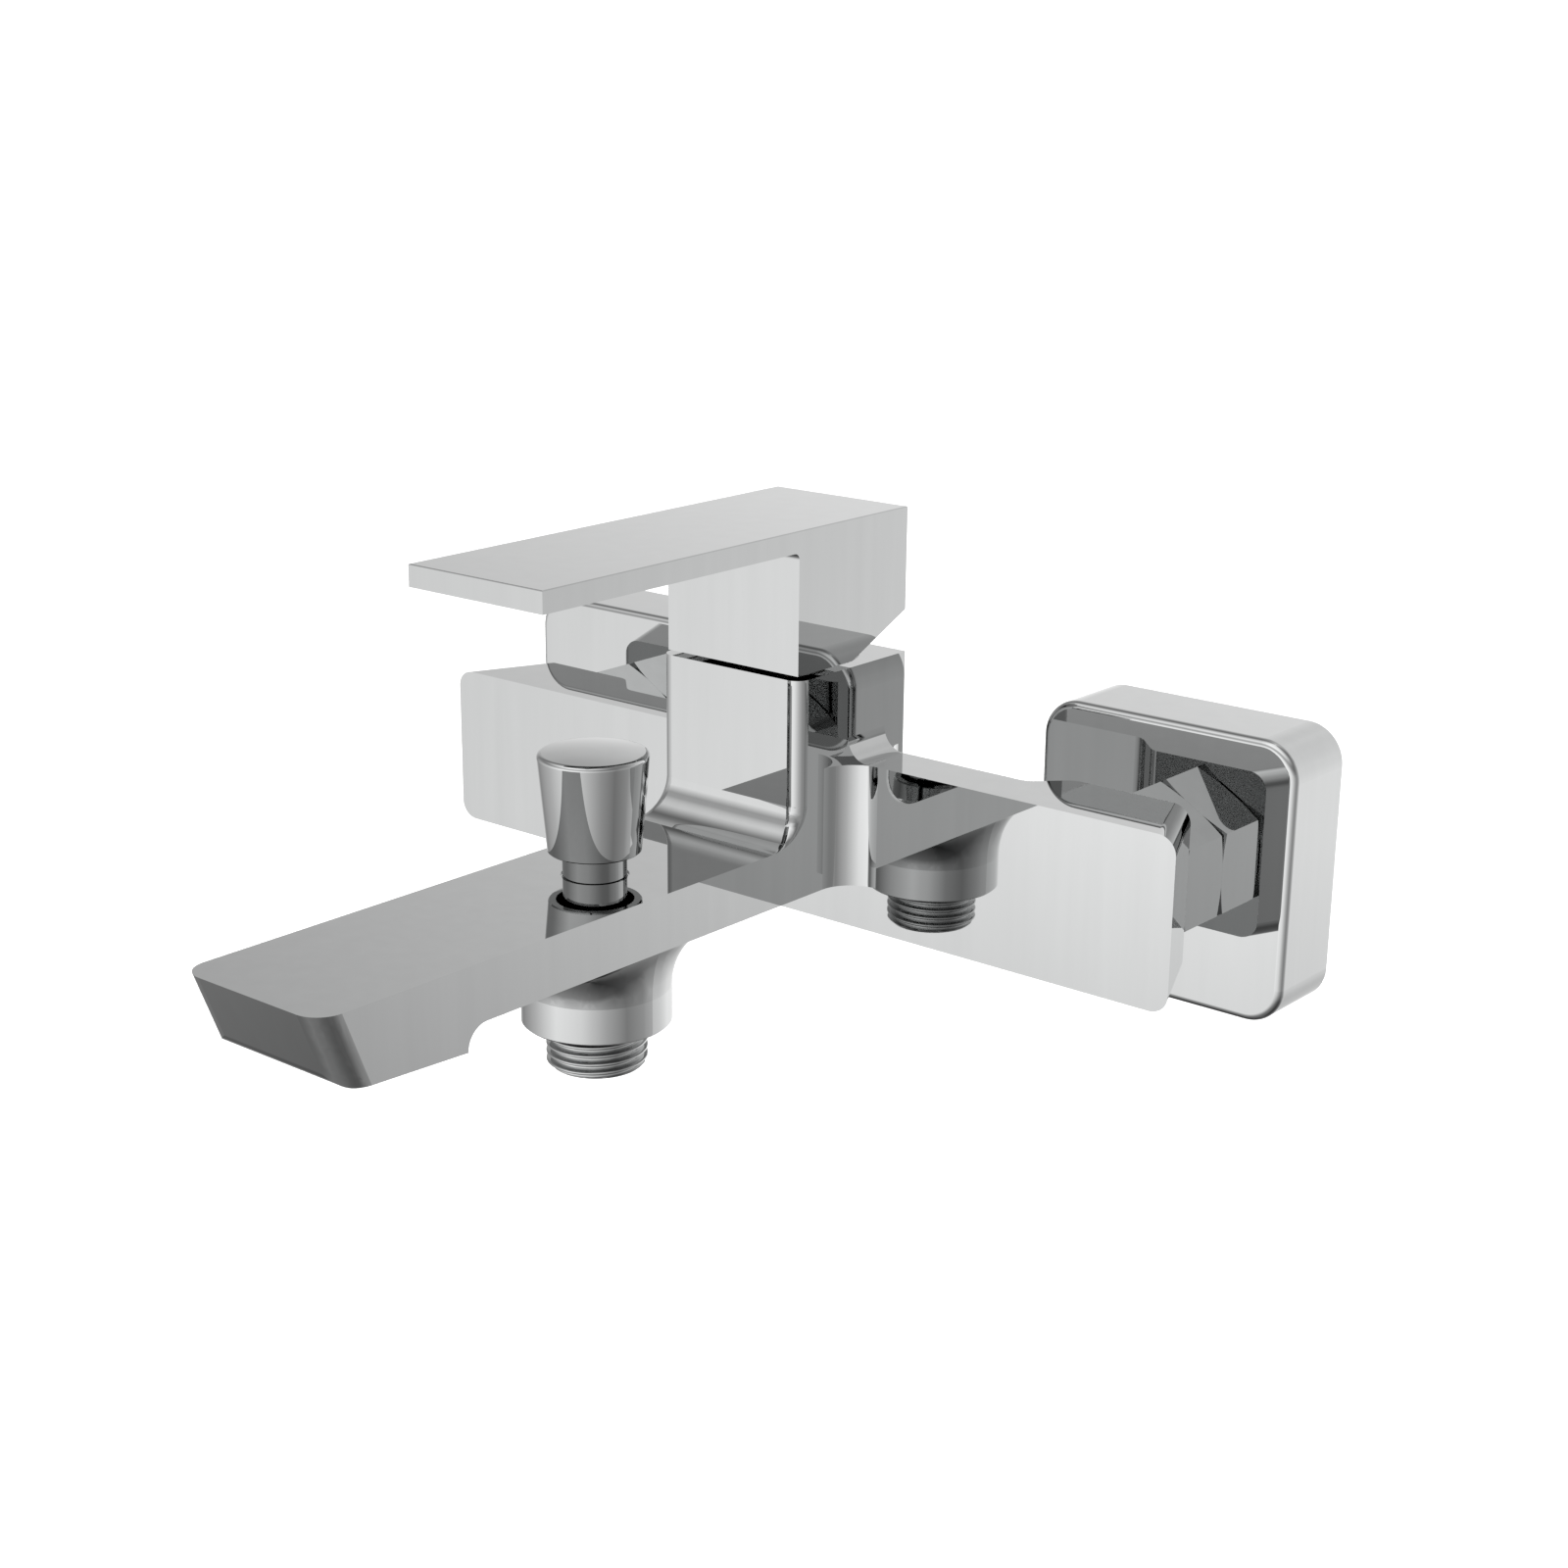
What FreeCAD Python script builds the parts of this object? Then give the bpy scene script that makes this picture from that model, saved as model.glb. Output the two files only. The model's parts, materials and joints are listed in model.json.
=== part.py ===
# Wall mounted bath mixer: a horizontal bar body with a square column and lever
# handle, a flat spout with a pull-up diverter and a threaded hose outlet under it.
# Frame: +Z up, +X to the right along the bar, the wall is the plane y = 0 and the
# user stands at -Y.  Origin: on the wall plane, midway between the two inlets, at
# inlet height.  Millimetres.
import FreeCAD, Part
import math
import os

V = FreeCAD.Vector
os.makedirs("parts", exist_ok=True)

# ------------------------------------------------------------- dimensions
INLET_X = 75.0            # inlet axes at +-75: the 150 mm wall mixer standard
# bar
BAR_HALF = 99.2           # half length at the front face
BAR_BACK_HALF = 90.66     # half length at the back, the ends taper to the wall
BAR_FRONT_Y = -53.4
BAR_BACK_Y = -34.0        # back of the two inlet blocks
BAR_MID_Y = -41.0         # back of the slimmer middle
BAR_STEP_X0, BAR_STEP_X1 = 56.0, 63.0
BAR_HALF_H = 18.3
BAR_END_R = 3.9
# column and spout share one width
HALF_W = 19.1
COL_FRONT_Y = -69.9
COL_TOP_Z = 38.4
COL_FRONT_R, COL_BACK_R = 3.1, 0.4
SPOUT_TOP_Z = 3.43
SPOUT_BOT_Z = -8.35
TIP_TOP_Y = -199.8
TIP_SLANT = (5.2, -13.23)  # the nose leans back under itself, y and z of the lean
TIP_CORNER_R = 5.6
TIP_FRONT_BOT = (-187.5, -12.1)
TIP_BACK_BOT = (-164.6, -13.25)
ROOT_R = 8.0              # column front to spout top
SIDE_R = 8.0              # column side to bar front
TOP_R = 5.0               # column side to bar top
# cartridge
CY = -52.0                # cartridge and handle axis
CART_BORE_R = 16.2
CART_FLOOR_Z = 5.0
PIVOT_Z = 36.5
# handle
H_HALF = 17.83
H_FRONT_Y, H_BACK_Y = -141.9, -32.93
H_TOP_Z, H_UNDER_Z = 69.33, 64.82
H_BLOCK_Y = -68.7
H_BOT_Z = 39.16
H_CH_Y, H_CH_Z = -50.9, 47.2
# diverter
DY = -110.74              # diverter and hose outlet axis
BOSS_R, BOSS_BOT_Z, BOSS_FLARE_R = 15.5, -27.67, 11.5
G12_R = 10.4775           # G1/2 major radius
HOSE_BOT_Z = -37.22
ROD_R = 6.55
ROD_FOOT_Z, STEM_FOOT_Z = -5.6, -31.4
SPRING_TOP_Z, SPRING_FOOT_Z = -13.05, -29.95
KNOB_BOT_Z, KNOB_TOP_Z = 8.54, 29.0
KNOB_BOT_R, KNOB_TOP_R = 9.51, 11.32
# escutcheon and union
ESC_HALF, ESC_DEPTH, ESC_CORNER_R, ESC_EDGE_R, ESC_WALL = 30.15, 19.15, 8.2, 1.5, 2.2
NUT_AF = 30.0
NUT_Y0, NUT_Y1 = -33.6, -19.16
G34_R = 13.22             # G3/4 major radius
WALL_THREAD_Y = 16.0
# aerator
AY = -175.5
AER_R = 9.25              # M18.5 aerator


# ---------------------------------------------------------------- helpers
def box(x0, x1, y0, y1, z0, z1):
    return Part.makeBox(x1 - x0, y1 - y0, z1 - z0, V(x0, y0, z0))


def cylz(r, z0, z1, x=0.0, y=0.0):
    return Part.makeCylinder(r, z1 - z0, V(x, y, z0), V(0, 0, 1))


def cyly(r, y0, y1, x=0.0, z=0.0):
    return Part.makeCylinder(r, y1 - y0, V(x, y0, z), V(0, 1, 0))


def cylx(r, x0, x1, y=0.0, z=0.0):
    return Part.makeCylinder(r, x1 - x0, V(x0, y, z), V(1, 0, 0))


def ringz(ro, ri, z0, z1, x=0.0, y=0.0):
    return cylz(ro, z0, z1, x, y).cut(cylz(ri, z0 - 1, z1 + 1, x, y))


def ringy(ro, ri, y0, y1, x=0.0, z=0.0):
    return cyly(ro, y0, y1, x, z).cut(cyly(ri, y0 - 1, y1 + 1, x, z))


def poly(points):
    return Part.Face(Part.makePolygon([V(*p) for p in points] + [V(*points[0])]))


def prism_z(points, z0, z1):
    return poly([(x, y, z0) for x, y in points]).extrude(V(0, 0, z1 - z0))


def prism_x(points, x0, x1):
    return poly([(x0, y, z) for y, z in points]).extrude(V(x1 - x0, 0, 0))


def wire_face(edges):
    return Part.Face(Part.Wire(edges))


def line(a, b):
    return Part.LineSegment(V(*a), V(*b)).toShape()


def arc(a, m, b):
    return Part.Arc(V(*a), V(*m), V(*b)).toShape()


def revolve_z(points, x=0.0, y=0.0):
    """solid of revolution about a vertical axis; points are (r, z) corners"""
    f = poly([(x + r, y, z) for r, z in points])
    return f.revolve(V(x, y, 0), V(0, 0, 1), 360)


def torus(R, r, centre, axis):
    return Part.makeTorus(R, r, centre, axis)


def mirror_x(s):
    return s.mirror(V(0, 0, 0), V(1, 0, 0))


def edges_where(shape, test):
    out = []
    for e in shape.Edges:
        pts = [v.Point for v in e.Vertexes]
        if pts and test(e, pts):
            out.append(e)
    return out


def save(shape, name):
    if not shape.isValid():
        print("INVALID", name)
    if shape.ShapeType != "Solid" and len(shape.Solids) == 1:
        shape = shape.Solids[0]
    print("%-26s solids %d volume %10.1f" % (name, len(shape.Solids), shape.Volume))
    shape.exportStep("parts/%s.step" % name)


# ------------------------------------------------------------ body casting
def bar():
    p = [(-BAR_HALF, BAR_FRONT_Y), (BAR_HALF, BAR_FRONT_Y),
         (BAR_BACK_HALF, BAR_BACK_Y), (BAR_STEP_X1, BAR_BACK_Y),
         (BAR_STEP_X0, BAR_MID_Y), (-BAR_STEP_X0, BAR_MID_Y),
         (-BAR_STEP_X1, BAR_BACK_Y), (-BAR_BACK_HALF, BAR_BACK_Y)]
    b = prism_z(p, -BAR_HALF_H, BAR_HALF_H)

    # soften the two vertical creases where the inlet blocks meet the slim middle
    def crease(e, pts):
        if len(pts) != 2 or abs(pts[0].z - pts[1].z) < 1:
            return False
        x, y = abs(pts[0].x), pts[0].y
        return (abs(x - BAR_STEP_X0) < 0.1 and abs(y - BAR_MID_Y) < 0.1) or \
               (abs(x - BAR_STEP_X1) < 0.1 and abs(y - BAR_BACK_Y) < 0.1)
    b = b.makeFillet(4.0, edges_where(b, crease))

    # round the bar's ends above and below
    def ends(e, pts):
        return len(pts) == 2 and abs(pts[0].z - pts[1].z) < 1e-3 and \
            min(abs(q.x) for q in pts) > BAR_BACK_HALF - 0.1 and \
            abs(pts[0].y - pts[1].y) > 5
    return b.makeFillet(BAR_END_R, edges_where(b, ends))


def rounded_plan(y0, y1, z, rf, rb):
    """rectangle in plan with its front corners rounded by rf, its back ones by rb"""
    h = HALF_W
    k = math.sqrt(0.5)
    e = [line((-h + rf, y0, z), (h - rf, y0, z)),
         arc((h - rf, y0, z), (h - rf + rf * k, y0 + rf - rf * k, z), (h, y0 + rf, z)),
         line((h, y0 + rf, z), (h, y1 - rb, z)),
         arc((h, y1 - rb, z), (h - rb + rb * k, y1 - rb + rb * k, z), (h - rb, y1, z)),
         line((h - rb, y1, z), (-h + rb, y1, z)),
         arc((-h + rb, y1, z), (-h + rb - rb * k, y1 - rb + rb * k, z), (-h, y1 - rb, z)),
         line((-h, y1 - rb, z), (-h, y0 + rf, z)),
         arc((-h, y0 + rf, z), (-h + rf - rf * k, y0 + rf - rf * k, z), (-h + rf, y0, z))]
    return Part.Wire(e)


def column():
    w = rounded_plan(COL_FRONT_Y, BAR_BACK_Y, 0.0, COL_FRONT_R, COL_BACK_R)
    c = Part.Face(w).extrude(V(0, 0, COL_TOP_Z))
    # the column's foot: its front sweeps out into the spout's top while the rounded
    # corners tighten to the spout's sharp edge
    secs = []
    n = 9
    for i in range(n + 1):
        a = math.radians(88.0 * i / n)
        z = SPOUT_TOP_Z + ROOT_R - ROOT_R * math.sin(a)
        y = COL_FRONT_Y - ROOT_R + ROOT_R * math.cos(a)
        r = COL_FRONT_R + (0.15 - COL_FRONT_R) * (i / n) ** 1.5
        secs.append(rounded_plan(y, BAR_BACK_Y - 6.0, z, r, 0.5))
    secs.append(rounded_plan(COL_FRONT_Y - ROOT_R, BAR_BACK_Y - 6.0, SPOUT_TOP_Z - 0.05, 0.15, 0.5))
    foot = Part.makeLoft(secs, True, False)
    return c, foot


def spout():
    # plan outline pushed down along the leaning nose
    y0, y1, r, h = TIP_TOP_Y, BAR_FRONT_Y + 4.0, TIP_CORNER_R, HALF_W
    k = math.sqrt(0.5)
    z = SPOUT_TOP_Z
    e = [line((-h + r, y0, z), (h - r, y0, z)),
         arc((h - r, y0, z), (h - r + r * k, y0 + r - r * k, z), (h, y0 + r, z)),
         line((h, y0 + r, z), (h, y1, z)),
         line((h, y1, z), (-h, y1, z)),
         line((-h, y1, z), (-h, y0 + r, z)),
         arc((-h, y0 + r, z), (-h + r - r * k, y0 + r - r * k, z), (-h + r, y0, z))]
    s = 2.0
    plan = wire_face(e).extrude(V(0, TIP_SLANT[0] * s, TIP_SLANT[1] * s))
    # side outline
    fy, fz = TIP_FRONT_BOT
    by, bz = TIP_BACK_BOT
    ar = SPOUT_BOT_Z - bz                      # concave step behind the aerator block
    sl = (bz - fz) / (by - fy)
    far = (-230.0, fz + sl * (-230.0 - fy))    # underside line carried past the nose
    m = (by + ar - ar * k, SPOUT_BOT_Z - ar + ar * k)
    x = -60.0
    pe = [line((x, -230.0, SPOUT_TOP_Z), (x, far[0], far[1])),
          line((x, far[0], far[1]), (x, by, bz)),
          arc((x, by, bz), (x, m[0], m[1]), (x, by + ar, SPOUT_BOT_Z)),
          line((x, by + ar, SPOUT_BOT_Z), (x, -20.0, SPOUT_BOT_Z)),
          line((x, -20.0, SPOUT_BOT_Z), (x, -20.0, SPOUT_TOP_Z)),
          line((x, -20.0, SPOUT_TOP_Z), (x, -230.0, SPOUT_TOP_Z))]
    side = wire_face(pe).extrude(V(120, 0, 0))
    sp = plan.common(side)
    sp = sp.common(box(-60, 60, -230, BAR_FRONT_Y + 4.0, -60, 60))
    # round the nose's lower front edge
    nl = math.hypot(*TIP_SLANT)
    ny, nz = TIP_SLANT[0] / nl, TIP_SLANT[1] / nl      # down the nose
    ul = math.hypot(1.0, sl)
    uy, uz = 1.0 / ul, sl / ul                          # back along the underside
    # corner where the nose line meets the underside line
    # TIP_TOP_Y + t*ny , SPOUT_TOP_Z + t*nz  on  z = fz + sl*(y - fy)
    t = (fz + sl * (TIP_TOP_Y - fy) - SPOUT_TOP_Z) / (nz - sl * ny)
    cy_, cz_ = TIP_TOP_Y + t * ny, SPOUT_TOP_Z + t * nz
    R = 4.2
    cosang = (-ny) * uy + (-nz) * uz
    half = 0.5 * math.acos(max(-1, min(1, cosang)))
    d = R / math.tan(half)
    t1 = (cy_ - ny * d, cz_ - nz * d)
    t2 = (cy_ + uy * d, cz_ + uz * d)
    bis = (-ny + uy, -nz + uz)
    bl = math.hypot(*bis)
    cc = (cy_ + bis[0] / bl * R / math.sin(half), cz_ + bis[1] / bl * R / math.sin(half))
    am = (cc[0] - bis[0] / bl * R, cc[1] - bis[1] / bl * R)
    out = [(x, t1[0], t1[1]), (x, t1[0] - 6, t1[1] - 1.0), (x, cy_ - 6, cz_ - 6), (x, t2[0], t2[1] - 6)]
    ce = [arc((x, t1[0], t1[1]), (x, am[0], am[1]), (x, t2[0], t2[1])),
          line((x, t2[0], t2[1]), out[3]), line(out[3], out[2]), line(out[2], out[1]),
          line(out[1], out[0])]
    cutter = wire_face(ce).extrude(V(120, 0, 0))
    return sp.cut(cutter)


def concave(p, q, r, a, b, axis, l0, l1):
    """quarter-round filler of radius r in the corner (p, q), opening along the
    directions a and b, running along axis from l0 to l1"""
    def P(u, v, w):
        return {"z": (u, v, w), "y": (u, w, v)}[axis]
    s = 0.6      # roots sunk in both walls
    k = math.sqrt(0.5)
    c0 = P(p + a * r, q, l0)
    c1 = P(p, q + b * r, l0)
    mid = P(p + a * r - a * r * k, q + b * r - b * r * k, l0)
    e = [arc(c0, mid, c1),
         line(c1, P(p - a * s, q + b * r, l0)),
         line(P(p - a * s, q + b * r, l0), P(p - a * s, q - b * s, l0)),
         line(P(p - a * s, q - b * s, l0), P(p + a * r, q - b * s, l0)),
         line(P(p + a * r, q - b * s, l0), c0)]
    d = V(0, 0, l1 - l0) if axis == "z" else V(0, l1 - l0, 0)
    return wire_face(e).extrude(d)


def boss_section(z, beta, r):
    """closed outline of the hose boss at height z.  beta runs from 0 where the
    cylinder ends to 90 degrees at the spout's underside; the flare reaches out
    along the spout but is held to the spout's two lower edges"""
    pts = []
    n = 48
    k = 1 - math.cos(math.radians(beta))
    for i in range(n):
        t = 2 * math.pi * i / n
        room = (HALF_W - 0.03) / max(abs(math.cos(t)), 1e-6) - BOSS_R
        reach = (room ** -6 + BOSS_FLARE_R ** -6) ** (-1.0 / 6)
        rr = r + reach * k
        pts.append(V(rr * math.cos(t), DY + rr * math.sin(t), z))
    c = Part.BSplineCurve()
    c.interpolate(Points=pts, PeriodicFlag=True)
    return Part.Wire([c.toShape()])


def boss():
    z0 = SPOUT_BOT_Z - BOSS_FLARE_R
    foot = boss_section(BOSS_BOT_Z, 0, BOSS_R - 0.4)
    low = boss_section(BOSS_BOT_Z + 0.4, 0, BOSS_R)
    mid = boss_section(z0, 0, BOSS_R)
    flare = [mid]
    for beta in (14, 28, 42, 56, 68, 79, 90):
        flare.append(boss_section(z0 + BOSS_FLARE_R * math.sin(math.radians(beta)), beta, BOSS_R))
    top = boss_section(SPOUT_BOT_Z + 1.5, 90, BOSS_R)
    s = Part.makeLoft([foot, low], True, True)
    s = s.fuse(Part.makeLoft([low, mid], True, True))
    s = s.fuse(Part.makeLoft(flare, True, False))
    s = s.fuse(Part.makeLoft([flare[-1], top], True, True))
    return s


def make_body():
    c, foot = column()
    # the column's back carries on down behind the bar
    heel = box(-HALF_W, HALF_W, BAR_FRONT_Y + 6.0, BAR_BACK_Y, -BAR_HALF_H + 0.8, 1.0)
    heel = heel.makeFillet(COL_BACK_R, edges_where(
        heel, lambda e, q: len(q) == 2 and abs(q[0].z - q[1].z) > 5 and
        all(abs(v.y - BAR_BACK_Y) < 0.01 for v in q)))
    parts = [c, foot, heel, spout(), boss()]
    for sx in (1, -1):
        parts.append(concave(sx * HALF_W, BAR_FRONT_Y, SIDE_R, sx, -1, "z", SPOUT_BOT_Z, BAR_HALF_H))
        parts.append(concave(sx * HALF_W, BAR_HALF_H, TOP_R, sx, 1, "y", BAR_FRONT_Y, BAR_MID_Y))
        parts.append(concave(sx * HALF_W, BAR_MID_Y, 5.0, sx, 1, "z", -BAR_HALF_H + 0.8, BAR_HALF_H))
    b = bar()
    for s in parts:
        b = b.fuse(s)
    b = b.removeSplitter()
    # cartridge chamber
    b = b.cut(cylz(CART_BORE_R, CART_FLOOR_Z, COL_TOP_Z + 1, 0, CY))
    # hot and cold ways along the bar, each up through the chamber floor
    for sx in (1, -1):
        x0, x1 = sorted((sx * 6.0, sx * 80.0))
        b = b.cut(cylx(4.2, x0, x1, -47.2, 0.0))
        b = b.cut(cylz(3.2, 0.0, CART_FLOOR_Z + 1, sx * 8.0, -47.6))
        b = b.cut(cyly(6.0, -50.5, BAR_BACK_Y + 1, sx * INLET_X, 0))
        b = b.cut(cyly(9.55, -44.0, BAR_BACK_Y + 1, sx * INLET_X, 0))
    # mixed water way: chamber, spout, aerator
    b = b.cut(cylz(3.6, -4.0, CART_FLOOR_Z + 1, 0, -60.0))
    b = b.cut(box(-9, 9, -172.0, -56.5, -5.6, 0.8))
    # diverter chamber, seat and hose socket
    b = b.cut(cylz(8.2, -8.6, 1.2, 0, DY))
    b = b.cut(cylz(5.6, -12, 0, 0, DY))
    b = b.cut(cylz(7.4, -19.0, -11.0, 0, DY))
    b = b.cut(cylz(10.0, BOSS_BOT_Z - 1, -18.0, 0, DY))
    b = b.cut(cylz(ROD_R + 0.08, 0, SPOUT_TOP_Z + 1, 0, DY))
    b = b.cut(cylz(ROD_R + 0.45, SPOUT_TOP_Z - 0.35, SPOUT_TOP_Z + 1, 0, DY))
    b = b.cut(cylz(7.75, 1.75, 2.85, 0, DY))
    # aerator socket
    b = b.cut(cylz(AER_R + 0.05, -30, -3.0, 0, AY))
    return b


# ---------------------------------------------------------------- the rest
def handle():
    p = [(H_FRONT_Y, H_TOP_Z), (H_FRONT_Y, H_UNDER_Z), (H_BLOCK_Y, H_UNDER_Z),
         (H_BLOCK_Y, H_BOT_Z), (H_CH_Y, H_BOT_Z), (H_BACK_Y, H_CH_Z), (H_BACK_Y, H_TOP_Z)]
    h = prism_x(p, -H_HALF, H_HALF)
    inner = edges_where(h, lambda e, q: len(q) == 2 and abs(q[0].y - H_BLOCK_Y) < .01 and
                        abs(q[1].y - H_BLOCK_Y) < .01 and abs(q[0].z - H_UNDER_Z) < .01 and
                        abs(q[1].z - H_UNDER_Z) < .01)
    h = h.makeFillet(1.4, inner)
    h = h.makeFillet(0.25, edges_where(h, lambda e, q: len(q) == 2 and
                                       all(abs(v.z - H_TOP_Z) < 0.01 for v in q)))
    h = h.cut(box(-4.05, 4.05, CY - 4.05, CY + 4.05, H_BOT_Z - 1, 57.5))   # square socket
    h = h.cut(cyly(2.55, CY + 3, H_BACK_Y + 1, 0, 52.0))            # grub screw
    h = h.cut(cyly(3.3, -36.0, H_BACK_Y + 1, 0, 52.0))              # plug seat
    return h


def lever_stem():
    s = box(-4, 4, CY - 4, CY + 4, 42.0, 57.0)
    s = s.makeChamfer(0.5, [e for e in s.Edges if abs(e.BoundBox.ZMin - 57.0) < .01 and e.BoundBox.ZLength < .01])
    s = s.fuse(box(-2.5, 2.5, CY - 2.5, CY + 2.5, 23.5, 42.5))
    s = s.fuse(Part.makeSphere(2.8, V(0, CY, 22.3)))
    return s.cut(cylx(1.27, -5, 5, CY, PIVOT_Z)).removeSplitter()


def stem_guide():
    g = cylz(15.1, 24.5, 27.4, 0, CY).fuse(cylz(9.45, 27.0, 38.15, 0, CY))
    g = g.cut(box(-2.6, 2.6, CY - 8.2, CY + 8.2, 20, 40))
    return g.cut(cylx(1.25, -20, 20, CY, PIVOT_Z)).removeSplitter()


def hexagon(af, y0, y1, x, z):
    R = af / math.sqrt(3.0)
    pts = [(x + R * math.sin(math.radians(60 * i)), z + R * math.cos(math.radians(60 * i))) for i in range(6)]
    f = poly([(a, y0, b) for a, b in pts])
    h = f.extrude(V(0, y1 - y0, 0))
    # both faces are turned back at the corners
    c, rc = 1.1, af / 2.0 + 0.2
    prof = [(0, y0), (rc, y0), (R + 0.1, y0 + c), (R + 0.1, y1 - c), (rc, y1), (0, y1)]
    f2 = Part.Face(Part.makePolygon([V(x + r, y, z) for r, y in prof] + [V(x + prof[0][0], prof[0][1], z)]))
    return h.common(f2.revolve(V(x, 0, z), V(0, 1, 0), 360))


def union_nut(x):
    n = hexagon(NUT_AF, NUT_Y0, NUT_Y1, x, 0)
    n = n.cut(cyly(G34_R + 0.03, -30.5, NUT_Y1 + 1, x, 0))
    return n.cut(cyly(10.2, NUT_Y0 - 1, -29, x, 0))


def inlet_tail(x):
    t = cyly(9.5, -43.8, -28.4, x, 0).fuse(cyly(12.6, -30.4, -28.4, x, 0))
    return t.cut(cyly(6.5, -50, -20, x, 0)).removeSplitter()


def wall_union(x):
    u = cyly(G34_R, -26.3, -12.0, x, 0)
    R = 27.0 / math.sqrt(3.0)
    pts = [(x + R * math.sin(math.radians(60 * i)), R * math.cos(math.radians(60 * i))) for i in range(6)]
    u = u.fuse(poly([(a, -12.0, b) for a, b in pts]).extrude(V(0, 7.0, 0)))
    u = u.fuse(cyly(G12_R, -6.0, WALL_THREAD_Y, x, 0))
    return u.cut(cyly(6.5, -30, 30, x, 0)).removeSplitter()


def escutcheon(x):
    h, r = ESC_HALF, ESC_CORNER_R

    def slab(hh, rr, y0, y1):
        b = box(x - hh, x + hh, y0, y1, -hh, hh)
        return b.makeFillet(rr, [e for e in b.Edges if e.BoundBox.YLength > (y1 - y0) - 0.01])
    e = slab(h, r, -ESC_DEPTH, 0)
    front = [k for k in e.Edges if abs(k.BoundBox.YMin + ESC_DEPTH) < 1e-3 and k.BoundBox.YLength < 1e-3]
    e = e.makeFillet(ESC_EDGE_R, front)
    e = e.cut(slab(h - ESC_WALL, r - ESC_WALL, -ESC_DEPTH + ESC_WALL, 1))
    e = e.cut(cyly(14.4, -ESC_DEPTH - 1, 0, x, 0))
    return e


def knob():
    # tapered skirt, rounded rim and a shallow spherical crown
    r1, zr, rise = KNOB_TOP_R - 1.0, KNOB_TOP_Z + 0.08, 0.72
    rs = (r1 * r1 + rise * rise) / (2 * rise)
    rm = 5.2
    zm = zr + rise - rs + math.sqrt(rs * rs - rm * rm)
    k = [(KNOB_BOT_R - 0.25, KNOB_BOT_Z), (KNOB_BOT_R, KNOB_BOT_Z + 0.25), (KNOB_TOP_R, KNOB_TOP_Z - 1.0)]
    e = [line((7.95, DY, KNOB_BOT_Z), (k[0][0], DY, k[0][1])),
         line((k[0][0], DY, k[0][1]), (k[1][0], DY, k[1][1])),
         line((k[1][0], DY, k[1][1]), (k[2][0], DY, k[2][1])),
         arc((k[2][0], DY, k[2][1]), (KNOB_TOP_R - 0.28, DY, KNOB_TOP_Z - 0.25), (r1, DY, zr)),
         arc((r1, DY, zr), (rm, DY, zm), (0, DY, zr + rise)),
         line((0, DY, zr + rise), (0, DY, 26.0)),
         line((0, DY, 26.0), (5.0, DY, 26.0)),
         line((5.0, DY, 26.0), (5.0, DY, 19.0)),
         line((5.0, DY, 19.0), (7.95, DY, 19.0)),
         line((7.95, DY, 19.0), (7.95, DY, KNOB_BOT_Z))]
    return wire_face(e).revolve(V(0, DY, 0), V(0, 0, 1), 360)


def diverter_rod():
    r = cylz(ROD_R, ROD_FOOT_Z, 19.0, 0, DY)
    r = r.fuse(cylz(4.98, 18.5, 25.9, 0, DY))
    r = r.fuse(cylz(2.0, STEM_FOOT_Z, -2.5, 0, DY))
    return r.removeSplitter()


def diverter_spring():
    # compression spring round the lower stem: it pushes the knob back down
    R, wr, turns = 3.0, 0.4, 6.5
    z0, z1 = SPRING_FOOT_Z + wr + 0.05, SPRING_TOP_Z - wr - 0.05
    helix = Part.makeHelix((z1 - z0) / turns, z1 - z0, R)
    helix.translate(V(0, DY, z0))
    prof = Part.Wire([Part.makeCircle(wr, V(R, DY, z0), V(0, 1, 0))])
    return Part.Wire(helix.Edges).makePipeShell([prof], True, True)


def diverter_guide():
    g = ringz(7.35, 2.08, SPRING_TOP_Z + 0.02, -11.05, 0, DY)
    for i in range(6):
        t = math.pi * i / 3
        g = g.cut(cylz(1.35, -20, -5, 5.25 * math.cos(t), DY + 5.25 * math.sin(t)))
    return g


def aerator_insert():
    a = cylz(8.1, -11.9, -5.1, 0, AY)
    for i, (n, rr) in enumerate(((1, 0.0), (6, 2.7), (12, 5.3))):
        for j in range(n):
            t = 2 * math.pi * j / n + 0.2 * i
            a = a.cut(cylz(0.95, -13, -4, rr * math.cos(t), AY + rr * math.sin(t)))
    return a


def aerator_housing():
    h = cylz(AER_R, -12.2, -5.0, 0, AY)
    h = h.cut(cylz(8.15, -11.95, -4, 0, AY))
    h = h.cut(cylz(7.2, -14, -11, 0, AY))
    # two key slots in the lower rim
    for s in (1, -1):
        h = h.cut(box(-1.2, 1.2, AY + s * 8.2 - 0.5, AY + s * 8.2 + 0.5, -13, -11.6))
    return h


def port_rings():
    shapes = []
    for (x, y, r) in ((8.0, -47.6, 3.4), (-8.0, -47.6, 3.4), (0, -60.0, 3.8)):
        shapes.append(ringz(r + 1.3, r, CART_FLOOR_Z, CART_FLOOR_Z + 1.5, x, y))
    return Part.makeCompound(shapes)


def ports(s, z0, z1, grow=0.0):
    for (x, y, r) in ((8.0, -47.6, 3.2), (-8.0, -47.6, 3.2), (0, -60.0, 3.6)):
        s = s.cut(cylz(r + grow, z0, z1, x, y))
    return s


def cartridge_base():
    b = ports(cylz(16.0, CART_FLOOR_Z + 0.2, 11.0, 0, CY), 0, 20)
    for (x, y, r) in ((8.0, -47.6, 3.4), (-8.0, -47.6, 3.4), (0, -60.0, 3.8)):
        b = b.cut(cylz(r + 1.35, 0, CART_FLOOR_Z + 1.5, x, y))
    return b


body = make_body()
save(body, "body_casting")

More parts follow.
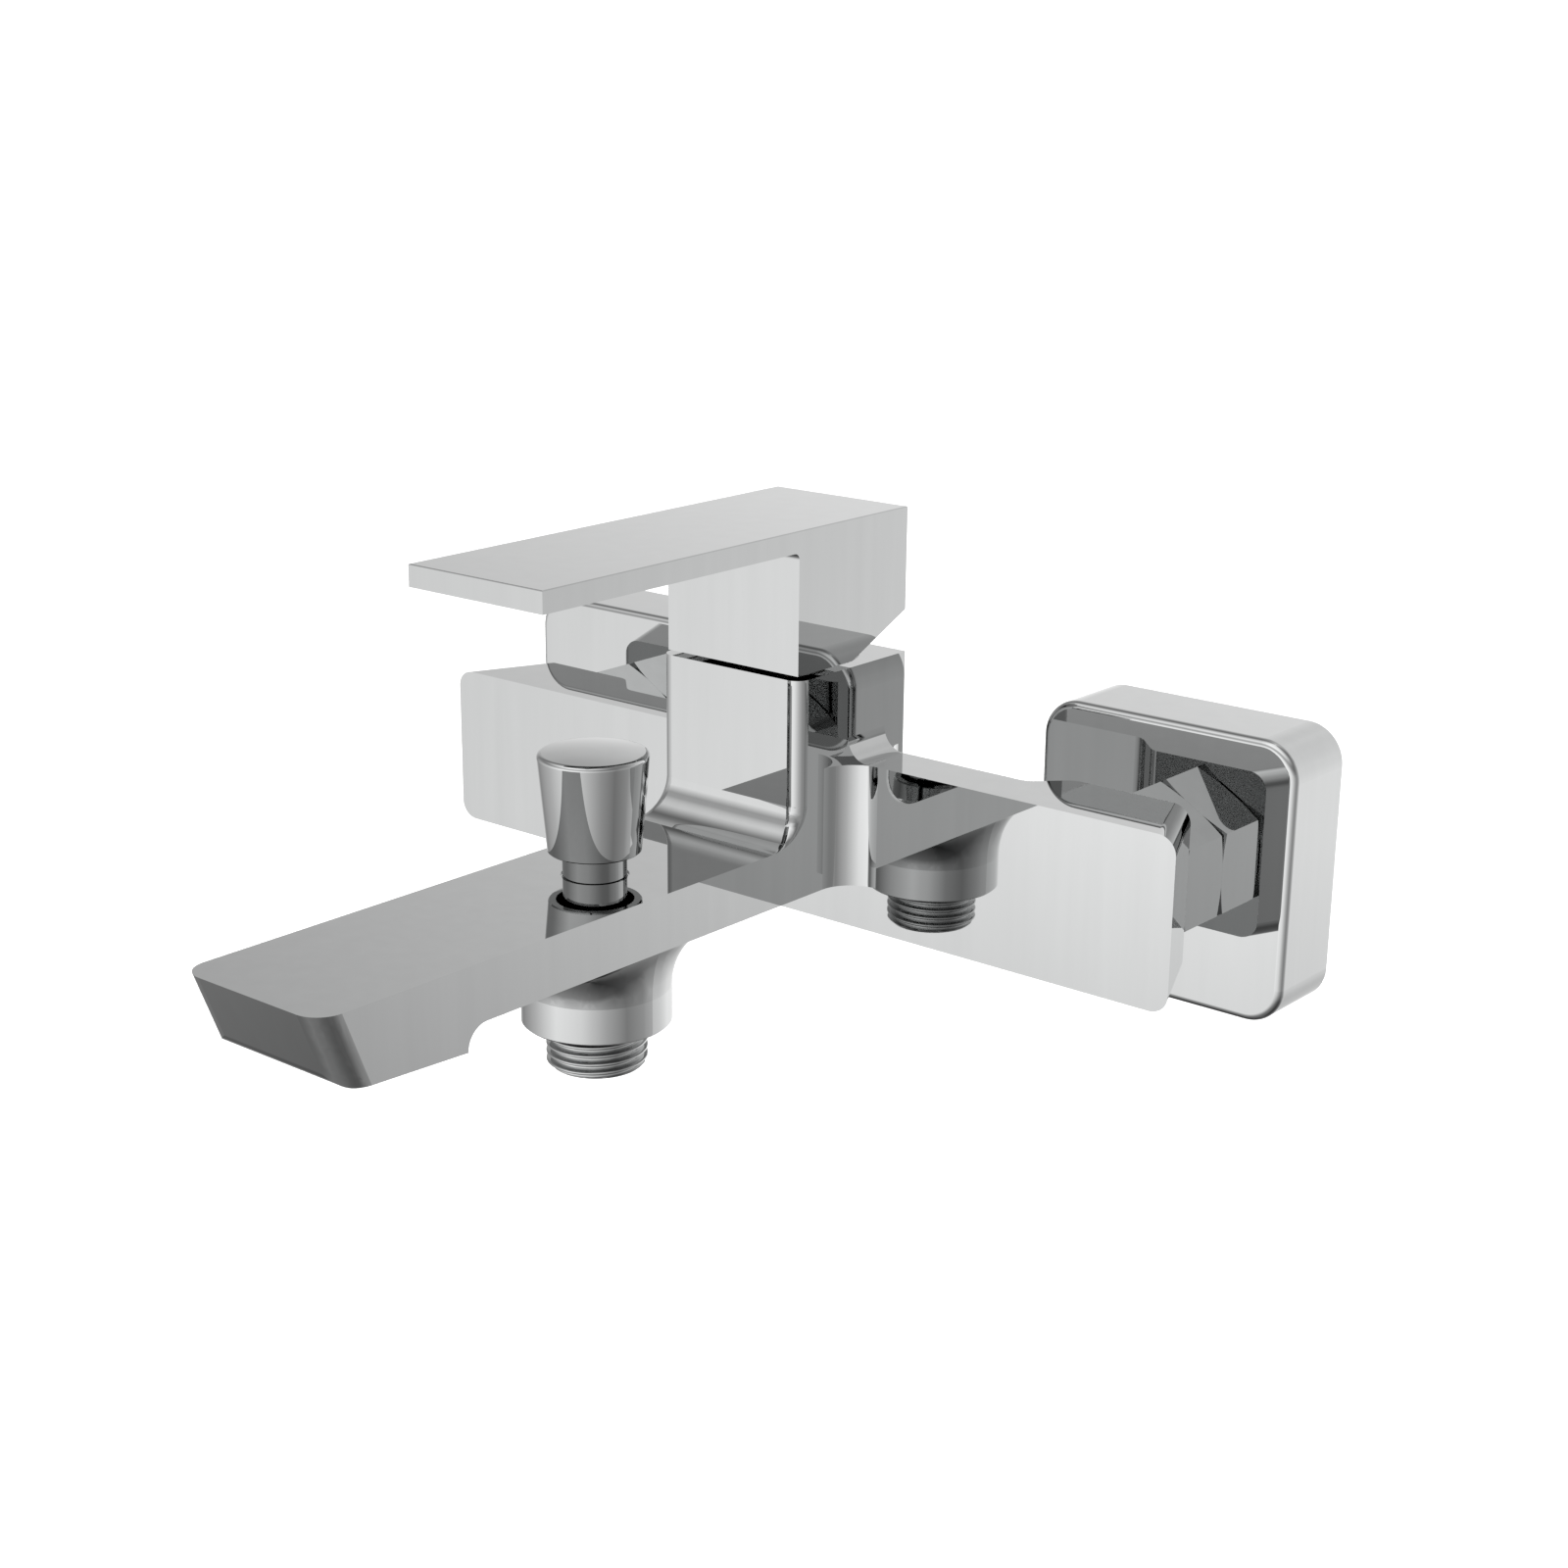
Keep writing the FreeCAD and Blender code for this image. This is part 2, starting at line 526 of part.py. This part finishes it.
save(ringz(16.1, 9.75, 35.6, COL_TOP_Z, 0, CY), "cartridge_cover_ring")
save(ringz(16.1, 10.2, 30.05, 35.5, 0, CY), "cartridge_nut")
housing = cylz(16.0, 11.02, 30.0, 0, CY).cut(cylz(15.4, 10, 27.6, 0, CY)).cut(cylz(9.75, 10, 40, 0, CY))
save(housing, "cartridge_housing")
save(cartridge_base(), "cartridge_base")
save(port_rings(), "cartridge_port_seals")
save(ports(cylz(15.0, 11.02, 15.0, 0, CY), 10, 16), "fixed_ceramic_disc")
md = cylz(9.8, 15.02, 18.4, 0, CY).cut(cylz(5.2, 14, 16.8, 0, CY - 2.0))
save(md, "moving_ceramic_disc")
save(cylz(9.8, 18.42, 23.6, 0, CY).cut(box(-3.1, 3.1, CY - 3.1, CY + 3.1, 19.2, 25)), "disc_carrier")
save(stem_guide(), "stem_guide")
save(cylx(1.22, -9.0, 9.0, CY, PIVOT_Z), "stem_pivot_pin")
save(lever_stem(), "lever_stem")
save(handle(), "handle")
save(cyly(2.5, -47.95, -40.0, 0, 52.0).cut(cyly(1.2, -43, -39, 0, 52.0)), "handle_grub_screw")
save(cyly(3.25, -35.9, H_BACK_Y - 0.05, 0, 52.0), "handle_screw_plug")

save(knob(), "diverter_knob")
save(diverter_rod(), "diverter_rod")
save(torus(7.17, 0.52, V(0, DY, 2.3), V(0, 0, 1)), "diverter_rod_seal")
save(ringz(7.3, 2.03, -7.2, ROD_FOOT_Z - 0.01, 0, DY), "diverter_valve_disc")
save(ringz(7.3, 2.03, -8.55, -7.21, 0, DY), "diverter_valve_seal")
save(diverter_guide(), "diverter_guide")
save(diverter_spring(), "diverter_spring")
save(ringz(4.6, 2.0, SPRING_FOOT_Z - 1.05, SPRING_FOOT_Z - 0.02, 0, DY), "spring_retainer")

nip = cylz(9.95, BOSS_BOT_Z + 0.02, -18.1, 0, DY).fuse(cylz(G12_R, HOSE_BOT_Z, BOSS_BOT_Z - 0.02, 0, DY))
nip = nip.fuse(cylz(9.9, BOSS_BOT_Z - 1, BOSS_BOT_Z + 1, 0, DY)).cut(cylz(6.4, -60, 0, 0, DY)).removeSplitter()
save(nip, "hose_outlet_nipple")

save(aerator_housing(), "aerator_housing")
save(aerator_insert(), "aerator_insert")
save(ringz(9.2, 7.2, -4.95, -3.05, 0, AY), "aerator_gasket")

for side, s in (("left", -1), ("right", 1)):
    x = s * INLET_X
    save(inlet_tail(x), "inlet_tail_" + side)
    save(union_nut(x), "union_nut_" + side)
    save(ringy(12.9, 6.6, -28.35, -26.35, x, 0), "filter_washer_" + side)
    save(wall_union(x), "wall_union_" + side)
    save(escutcheon(x), "escutcheon_" + side)
    save(torus(13.85, 0.52, V(x, -ESC_DEPTH + 1.1, 0), V(0, 1, 0)), "escutcheon_oring_" + side)

bb = body.BoundBox
print("body box", bb)
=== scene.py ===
import bpy
import json
import math
import random
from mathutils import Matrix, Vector


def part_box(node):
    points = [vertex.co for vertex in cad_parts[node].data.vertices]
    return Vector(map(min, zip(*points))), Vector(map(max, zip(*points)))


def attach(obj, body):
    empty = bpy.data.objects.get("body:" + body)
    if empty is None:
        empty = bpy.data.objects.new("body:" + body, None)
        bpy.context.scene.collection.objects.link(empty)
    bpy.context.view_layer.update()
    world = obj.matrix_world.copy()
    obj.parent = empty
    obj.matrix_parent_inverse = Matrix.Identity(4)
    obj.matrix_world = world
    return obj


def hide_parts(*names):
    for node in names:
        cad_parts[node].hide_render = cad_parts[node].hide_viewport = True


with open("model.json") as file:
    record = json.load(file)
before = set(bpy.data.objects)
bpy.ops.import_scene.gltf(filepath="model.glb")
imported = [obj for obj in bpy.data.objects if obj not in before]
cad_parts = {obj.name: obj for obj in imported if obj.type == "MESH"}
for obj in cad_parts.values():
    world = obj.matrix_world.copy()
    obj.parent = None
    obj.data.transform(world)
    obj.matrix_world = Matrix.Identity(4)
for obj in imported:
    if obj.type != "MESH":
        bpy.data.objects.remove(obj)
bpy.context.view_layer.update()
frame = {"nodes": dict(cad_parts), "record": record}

random.seed(4)


# ------------------------------------------------------------ materials
def new_material(name):
    m = bpy.data.materials.new(name)
    m.use_nodes = True
    nt = m.node_tree
    for n in list(nt.nodes):
        nt.nodes.remove(n)
    out = nt.nodes.new("ShaderNodeOutputMaterial")
    b = nt.nodes.new("ShaderNodeBsdfPrincipled")
    nt.links.new(b.outputs["BSDF"], out.inputs["Surface"])
    return m, nt, b


def ramp(nt, fac, stops):
    r = nt.nodes.new("ShaderNodeValToRGB")
    el = r.color_ramp.elements
    while len(el) > 1:
        el.remove(el[-1])
    el[0].position, el[0].color = stops[0][0], stops[0][1]
    for p, c in stops[1:]:
        e = el.new(p)
        e.color = c
    nt.links.new(fac, r.inputs["Fac"])
    return r.outputs["Color"]


def grey(v, tint=(1.0, 1.0, 1.0)):
    return (v * tint[0], v * tint[1], v * tint[2], 1.0)


def chrome(name, level=0.475, tint=(0.99, 1.0, 1.0), rough=0.008, streak=(9.0, 9.0, 0.6), depth=0.004):
    """Polished chrome plate: very faint polishing streaks in tone, gloss and relief."""
    m, nt, b = new_material(name)
    tc = nt.nodes.new("ShaderNodeTexCoord")
    mp = nt.nodes.new("ShaderNodeMapping")
    mp.inputs["Scale"].default_value = [s * 26.0 for s in streak]
    nt.links.new(tc.outputs["Object"], mp.inputs["Vector"])
    n1 = nt.nodes.new("ShaderNodeTexNoise")
    n1.inputs["Scale"].default_value = 1.0
    n1.inputs["Detail"].default_value = 4.0
    nt.links.new(mp.outputs["Vector"], n1.inputs["Vector"])
    fac = n1.outputs["Fac"]
    col = ramp(nt, fac, [(0.3, grey(level * 0.965, tint)), (0.7, grey(level, tint))])
    nt.links.new(col, b.inputs["Base Color"])
    mr = nt.nodes.new("ShaderNodeMapRange")
    mr.inputs["From Min"].default_value = 0.3
    mr.inputs["From Max"].default_value = 0.7
    mr.inputs["To Min"].default_value = rough
    mr.inputs["To Max"].default_value = rough + 0.012
    nt.links.new(fac, mr.inputs["Value"])
    nt.links.new(mr.outputs["Result"], b.inputs["Roughness"])
    b.inputs["Metallic"].default_value = 1.0
    # the casting is polished by hand, so its flats are never quite flat
    n2 = nt.nodes.new("ShaderNodeTexNoise")
    n2.inputs["Scale"].default_value = 22.0
    n2.inputs["Detail"].default_value = 1.0
    nt.links.new(tc.outputs["Object"], n2.inputs["Vector"])
    bump = nt.nodes.new("ShaderNodeBump")
    bump.inputs["Strength"].default_value = depth
    bump.inputs["Distance"].default_value = 0.001
    nt.links.new(n2.outputs["Fac"], bump.inputs["Height"])
    nt.links.new(bump.outputs["Normal"], b.inputs["Normal"])
    return m


def plain(name, a, c, rough, metallic=0.0, scale=400.0, bump=0.05):
    m, nt, b = new_material(name)
    tc = nt.nodes.new("ShaderNodeTexCoord")
    n1 = nt.nodes.new("ShaderNodeTexNoise")
    n1.inputs["Scale"].default_value = scale
    n1.inputs["Detail"].default_value = 3.0
    nt.links.new(tc.outputs["Object"], n1.inputs["Vector"])
    col = ramp(nt, n1.outputs["Fac"], [(0.3, a + (1.0,)), (0.7, c + (1.0,))])
    nt.links.new(col, b.inputs["Base Color"])
    mr = nt.nodes.new("ShaderNodeMapRange")
    mr.inputs["To Min"].default_value = rough
    mr.inputs["To Max"].default_value = min(1.0, rough + 0.12)
    nt.links.new(n1.outputs["Fac"], mr.inputs["Value"])
    nt.links.new(mr.outputs["Result"], b.inputs["Roughness"])
    b.inputs["Metallic"].default_value = metallic
    bp = nt.nodes.new("ShaderNodeBump")
    bp.inputs["Strength"].default_value = bump
    bp.inputs["Distance"].default_value = 0.0002
    nt.links.new(n1.outputs["Fac"], bp.inputs["Height"])
    nt.links.new(bp.outputs["Normal"], b.inputs["Normal"])
    return m


MAT = {
    "chrome_body": chrome("chrome_body_finish"),
    "chrome_handle": chrome("chrome_handle_finish"),
    "chrome_knob": chrome("chrome_knob_finish"),
    "chrome_nut": chrome("chrome_nut_finish", 0.46, rough=0.03),
    "chrome_escutcheon": chrome("chrome_escutcheon_finish"),
    "chrome_thread": chrome("chrome_thread_finish", 0.46, rough=0.05),
    # painted light: the trim chrome gets a brighter base colour than the body chrome, to lift the diverter rod
    # out of the shade that the knob and spout put on it
    "chrome_trim": chrome("chrome_trim_painted_light_finish", 0.54, rough=0.015),
    "brass": plain("brass_finish", (0.60, 0.42, 0.17), (0.72, 0.52, 0.24), 0.28, 1.0, 300.0),
    "steel": plain("steel_finish", (0.42, 0.42, 0.42), (0.55, 0.55, 0.55), 0.25, 1.0, 500.0),
    "cartridge_plastic": plain("cartridge_plastic_finish", (0.70, 0.69, 0.64), (0.76, 0.75, 0.70), 0.45),
    "aerator_plastic": plain("aerator_plastic_finish", (0.36, 0.38, 0.41), (0.44, 0.46, 0.49), 0.4),
    "ceramic": plain("ceramic_finish", (0.82, 0.81, 0.77), (0.88, 0.87, 0.84), 0.12),
    "seal_rubber": plain("seal_rubber_finish", (0.012, 0.012, 0.012), (0.03, 0.03, 0.03), 0.6),
}
SLOT_OF = {s["node"]: s["material_slot"] for s in frame["record"]["subparts"]}
for name, ob in frame["nodes"].items():
    mat = MAT[SLOT_OF[name]]
    ob.data.materials.clear()
    ob.data.materials.append(mat)

# ------------------------------------------------------------ camera
K = 0.9645
cam_data = bpy.data.cameras.new("camera")
cam = bpy.data.objects.new("camera", cam_data)
bpy.context.scene.collection.objects.link(cam)
cam.location = (0.35571 * K, -0.48402 * K, 0.1776 * K)
cam.rotation_euler = (math.radians(90 - 17.97), 0.0, math.radians(41.35))
cam_data.sensor_width = 36.0
cam_data.lens = 59.562
cam_data.shift_x = 0.04992
cam_data.shift_y = 0.03435
cam_data.clip_start = 0.01
cam_data.clip_end = 100.0
cam_data.dof.use_dof = False
bpy.context.scene.camera = cam

# ------------------------------------------------------------ light
# A large soft studio: its brightness depends only on the direction.
world = bpy.data.worlds.new("studio")
bpy.context.scene.world = world
world.use_nodes = True
wt = world.node_tree
for n in list(wt.nodes):
    wt.nodes.remove(n)


def wnode(kind, **kw):
    n = wt.nodes.new(kind)
    for k, v in kw.items():
        setattr(n, k, v)
    return n


def wmath(op, a, b=None):
    n = wnode("ShaderNodeMath", operation=op)
    for i, v in enumerate((a, b)):
        if v is None:
            continue
        if isinstance(v, (int, float)):
            n.inputs[i].default_value = v
        else:
            wt.links.new(v, n.inputs[i])
    return n.outputs[0]


wo = wnode("ShaderNodeOutputWorld")
bg = wnode("ShaderNodeBackground")
wt.links.new(bg.outputs["Background"], wo.inputs["Surface"])
wtc = wnode("ShaderNodeTexCoord")
wsep = wnode("ShaderNodeSeparateXYZ")
wt.links.new(wtc.outputs["Generated"], wsep.inputs[0])
wx, wy, wz = wsep.outputs[0], wsep.outputs[1], wsep.outputs[2]
# azimuth 0 at -Y (in front), +90 at +X, mapped to 0..1 with 0.5 in front
azim = wmath("ADD", wmath("DIVIDE", wmath("ARCTAN2", wx, wmath("MULTIPLY", wy, -1.0)), 2 * math.pi), 0.5)
elev = wmath("ADD", wmath("MULTIPLY", wz, 0.5), 0.5)


def A(deg):
    return deg / 360.0 + 0.5


def Z(v):
    return v * 0.5 + 0.5


def tone(v, t=0.0):
    return (v * (1 - t), v * (1 - 0.6 * t), v, 1)


AZ_STOPS = [(A(d), tone(v, 0)) for d, v in (
    (-180, 1.6), (-140, 1.05), (-105, 0.4), (-60, 1.0), (-20, 1.75), (20, 1.5),
    (60, 0.8), (90, 0.45), (120, 0.65), (150, 1.3), (175, 1.6))]
EL_FRONT = [(Z(z), (v, v, v, 1)) for z, v in (
    (-1.0, 0.1), (-0.7, 0.25), (-0.5, 0.6), (-0.3, 1.0), (0.0, 1.0), (0.3, 0.45), (0.45, 0.5),
    (0.7, 1.15), (1.0, 0.9))]
EL_BACK = [(Z(z), (v, v, v, 1)) for z, v in (
    (-1.0, 0.1), (-0.7, 0.25), (-0.5, 0.6), (-0.3, 1.0), (0.1, 0.95), (0.4, 0.8), (0.8, 0.45), (1.0, 0.6))]
ca = ramp(wt, azim, AZ_STOPS)
cf = ramp(wt, elev, EL_FRONT)
cb = ramp(wt, elev, EL_BACK)


def wmixer(blend, fac, a_, b_):
    m = wnode("ShaderNodeMix", data_type="RGBA", blend_type=blend)
    if isinstance(fac, (int, float)):
        m.inputs["Factor"].default_value = fac
    else:
        wt.links.new(fac, m.inputs["Factor"])
    io = [i for i in m.inputs if i.type == "RGBA"]
    wt.links.new(a_, io[0])
    wt.links.new(b_, io[1])
    return [o for o in m.outputs if o.type == "RGBA"][0]


backness = wnode("ShaderNodeMapRange", interpolation_type="SMOOTHSTEP")
backness.inputs["From Min"].default_value = -0.35
backness.inputs["From Max"].default_value = 0.35
wt.links.new(wy, backness.inputs["Value"])
ce = wmixer("MIX", backness.outputs["Result"], cf, cb)
wt.links.new(wmixer("MULTIPLY", 1.0, ca, ce), bg.inputs["Color"])
bg.inputs["Strength"].default_value = 1.04


sun_data = bpy.data.lights.new("overhead", "SUN")
sun_data.energy = 2.6
sun_data.angle = math.radians(90)
sun = bpy.data.objects.new("overhead", sun_data)
bpy.context.scene.collection.objects.link(sun)
sun.visible_glossy = False

sc = bpy.context.scene
sc.view_settings.view_transform = "Standard"
sc.view_settings.look = "None"
sc.view_settings.exposure = 0.0
sc.view_settings.gamma = 1.0

# ------------------------------------------------------------ floor
me = bpy.data.meshes.new("floor")
S = 60.0
FZ = -0.45
me.from_pydata([(-S, -S, FZ), (S, -S, FZ), (S, S, FZ), (-S, S, FZ)], [], [(0, 1, 2, 3)])
floor = bpy.data.objects.new("floor", me)
bpy.context.scene.collection.objects.link(floor)
floor.visible_glossy = False
fm, fnt, fb = new_material("pale_floor")
ftc = fnt.nodes.new("ShaderNodeTexCoord")
fn = fnt.nodes.new("ShaderNodeTexNoise")
fn.inputs["Scale"].default_value = 3.0
fnt.links.new(ftc.outputs["Object"], fn.inputs["Vector"])
fcol = ramp(fnt, fn.outputs["Fac"], [(0.3, (0.90, 0.90, 0.90, 1)), (0.7, (0.91, 0.91, 0.91, 1))])
fnt.links.new(fcol, fb.inputs["Base Color"])
fb.inputs["Roughness"].default_value = 0.9
me.materials.append(fm)

# far wall past the floor's edge, so the background is one plain tone
wm = bpy.data.meshes.new("far_wall")
wm.from_pydata([(-50, 50, -0.5), (50, 50, -0.5), (50, 50, 40), (-50, 50, 40), (-50, -50, -0.5), (-50, -50, 40)],
               [], [(0, 1, 2, 3), (4, 0, 3, 5)])
far = bpy.data.objects.new("far_wall", wm)
bpy.context.scene.collection.objects.link(far)
far.visible_glossy = False
far.visible_diffuse = False
far.visible_shadow = False
fwm, fwt, fwb = new_material("pale_wall")
fwb.inputs["Base Color"].default_value = (0.9, 0.9, 0.9, 1)
fwb.inputs["Emission Color"].default_value = (1, 1, 1, 1)
fwb.inputs["Emission Strength"].default_value = 1.0
wm.materials.append(fwm)

# ------------------------------------------------------------ threads
def ring_rows(rows, segs=120):
    """rows of (radius function of angle, height); returns verts, faces of a tube"""
    verts, faces = [], []
    for r, z in rows:
        for i in range(segs):
            t = 2 * math.pi * i / segs
            rr = r(t) if callable(r) else r
            verts.append((rr * math.cos(t), rr * math.sin(t), z))
    for j in range(len(rows) - 1):
        for i in range(segs):
            a, b = j * segs + i, j * segs + (i + 1) % segs
            faces.append((a, b, b + segs, a + segs))
    return verts, faces


def thread_profile(u):
    """Whitworth form over one pitch, 0 at a crest and 1 at a root"""
    d = abs(u - math.floor(u) - 0.5) * 2          # 1 at crest, 0 at root
    d = min(1.0, max(0.0, (d - 0.16) / 0.68))
    return 1 - d * d * (3 - 2 * d)


def threaded(name, major, minor, bore, z_end, z_shoulder, pitch, neck, segs=120, tail=None):
    """A threaded male end along +Z: z_end is the free end, z_shoulder the shoulder."""
    sgn = 1.0 if z_shoulder > z_end else -1.0
    length = abs(z_shoulder - z_end)
    rows = []
    if tail is not None:
        rows.append((bore, z_shoulder + sgn * tail))
    else:
        rows.append((bore, z_shoulder))
    rows.append((bore, z_end + sgn * 0.0004))
    rows.append((bore + 0.0004, z_end))
    rows.append((minor - 0.0001, z_end))
    n = int(length / 0.000095)
    for j in range(n + 1):
        s_ = length * j / n

        def r(t, s_=s_):
            depth = thread_profile(s_ / pitch - sgn * t / (2 * math.pi))
            rr = major - (major - minor) * depth
            lead = min(1.0, s_ / 0.0011)
            rr = min(rr, minor + (major - minor) * lead)
            out = (length - neck - s_) / 0.0006
            k = min(1.0, max(0.0, out))
            return minor + (rr - minor) * k
        rows.append((r, z_end + sgn * s_))
    if tail is not None:
        rows.append((minor, z_shoulder + sgn * tail))
    verts, faces = ring_rows(rows, segs)
    m = len(rows)
    for i in range(segs):
        a, b = (m - 1) * segs + i, (m - 1) * segs + (i + 1) % segs
        faces.append((a, b, (i + 1) % segs, i))
    return verts, faces


def make_piece(name, verts, faces, body, node, slot, move=(0, 0, 0), along_y=False):
    if along_y:
        verts = [(x, z, -y) for x, y, z in verts]
    verts = [(x + move[0], y + move[1], z + move[2]) for x, y, z in verts]
    mesh = bpy.data.meshes.new(name)
    mesh.from_pydata(verts, [], faces)
    import bmesh
    bm = bmesh.new()
    bm.from_mesh(mesh)
    bmesh.ops.recalc_face_normals(bm, faces=bm.faces)
    bm.to_mesh(mesh)
    bm.free()
    for p in mesh.polygons:
        p.use_smooth = True
    mesh.materials.append(MAT[slot])
    o = bpy.data.objects.new(name, mesh)
    bpy.context.scene.collection.objects.link(o)
    if hasattr(mesh, "set_sharp_from_angle"):
        mesh.set_sharp_from_angle(angle=math.radians(50))
    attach(o, body)
    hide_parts(node)
    return o


MAJ, MIN, PITCH = 0.0104775, 0.0093155, 0.001814
nlo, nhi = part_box("hose_outlet_nipple")
v, f = threaded("hose_thread", MAJ, MIN, 0.0064, nlo[2], -0.02769, PITCH, 0.0012, tail=0.0095)
hx, hy = (nlo[0] + nhi[0]) / 2, (nlo[1] + nhi[1]) / 2
make_piece("hose_outlet_thread", v, f, "base", "hose_outlet_nipple", "chrome_thread", (hx, hy, 0))

for side in ("left", "right"):
    ulo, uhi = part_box("wall_union_" + side)
    cx = (ulo[0] + uhi[0]) / 2
    v, f = threaded("wall_thread_" + side, MAJ, MIN, 0.0065, uhi[1], -0.0049, PITCH, 0.0015, tail=0.0005)
    v2, f2 = ring_rows([(0.0065, -0.0262), (0.0065, -0.0055)], 96)
    R6 = 0.027 / math.sqrt(3)

    def hexr(t):
        k = (t - math.pi / 6) % (math.pi / 3) - math.pi / 6
        return 0.0135 / math.cos(k)

    outer = [(0.0065, -0.0262), (0.0126, -0.0263), (0.01322, -0.0256), (0.01322, -0.01205),
             (0.0133, -0.01204), (hexr, -0.0117), (hexr, -0.0053), (0.0133, -0.0049), (0.0065, -0.0049)]
    v3, f3 = ring_rows(outer, 96)
    off2, off3 = len(v), len(v) + len(v2)
    allv = v + v2 + v3
    allf = f + [tuple(i + off2 for i in q) for q in f2] + [tuple(i + off3 for i in q) for q in f3]
    make_piece("wall_union_thread_" + side, allv, allf, "base", "wall_union_" + side, "chrome_thread",
               (cx, 0, 0), along_y=True)
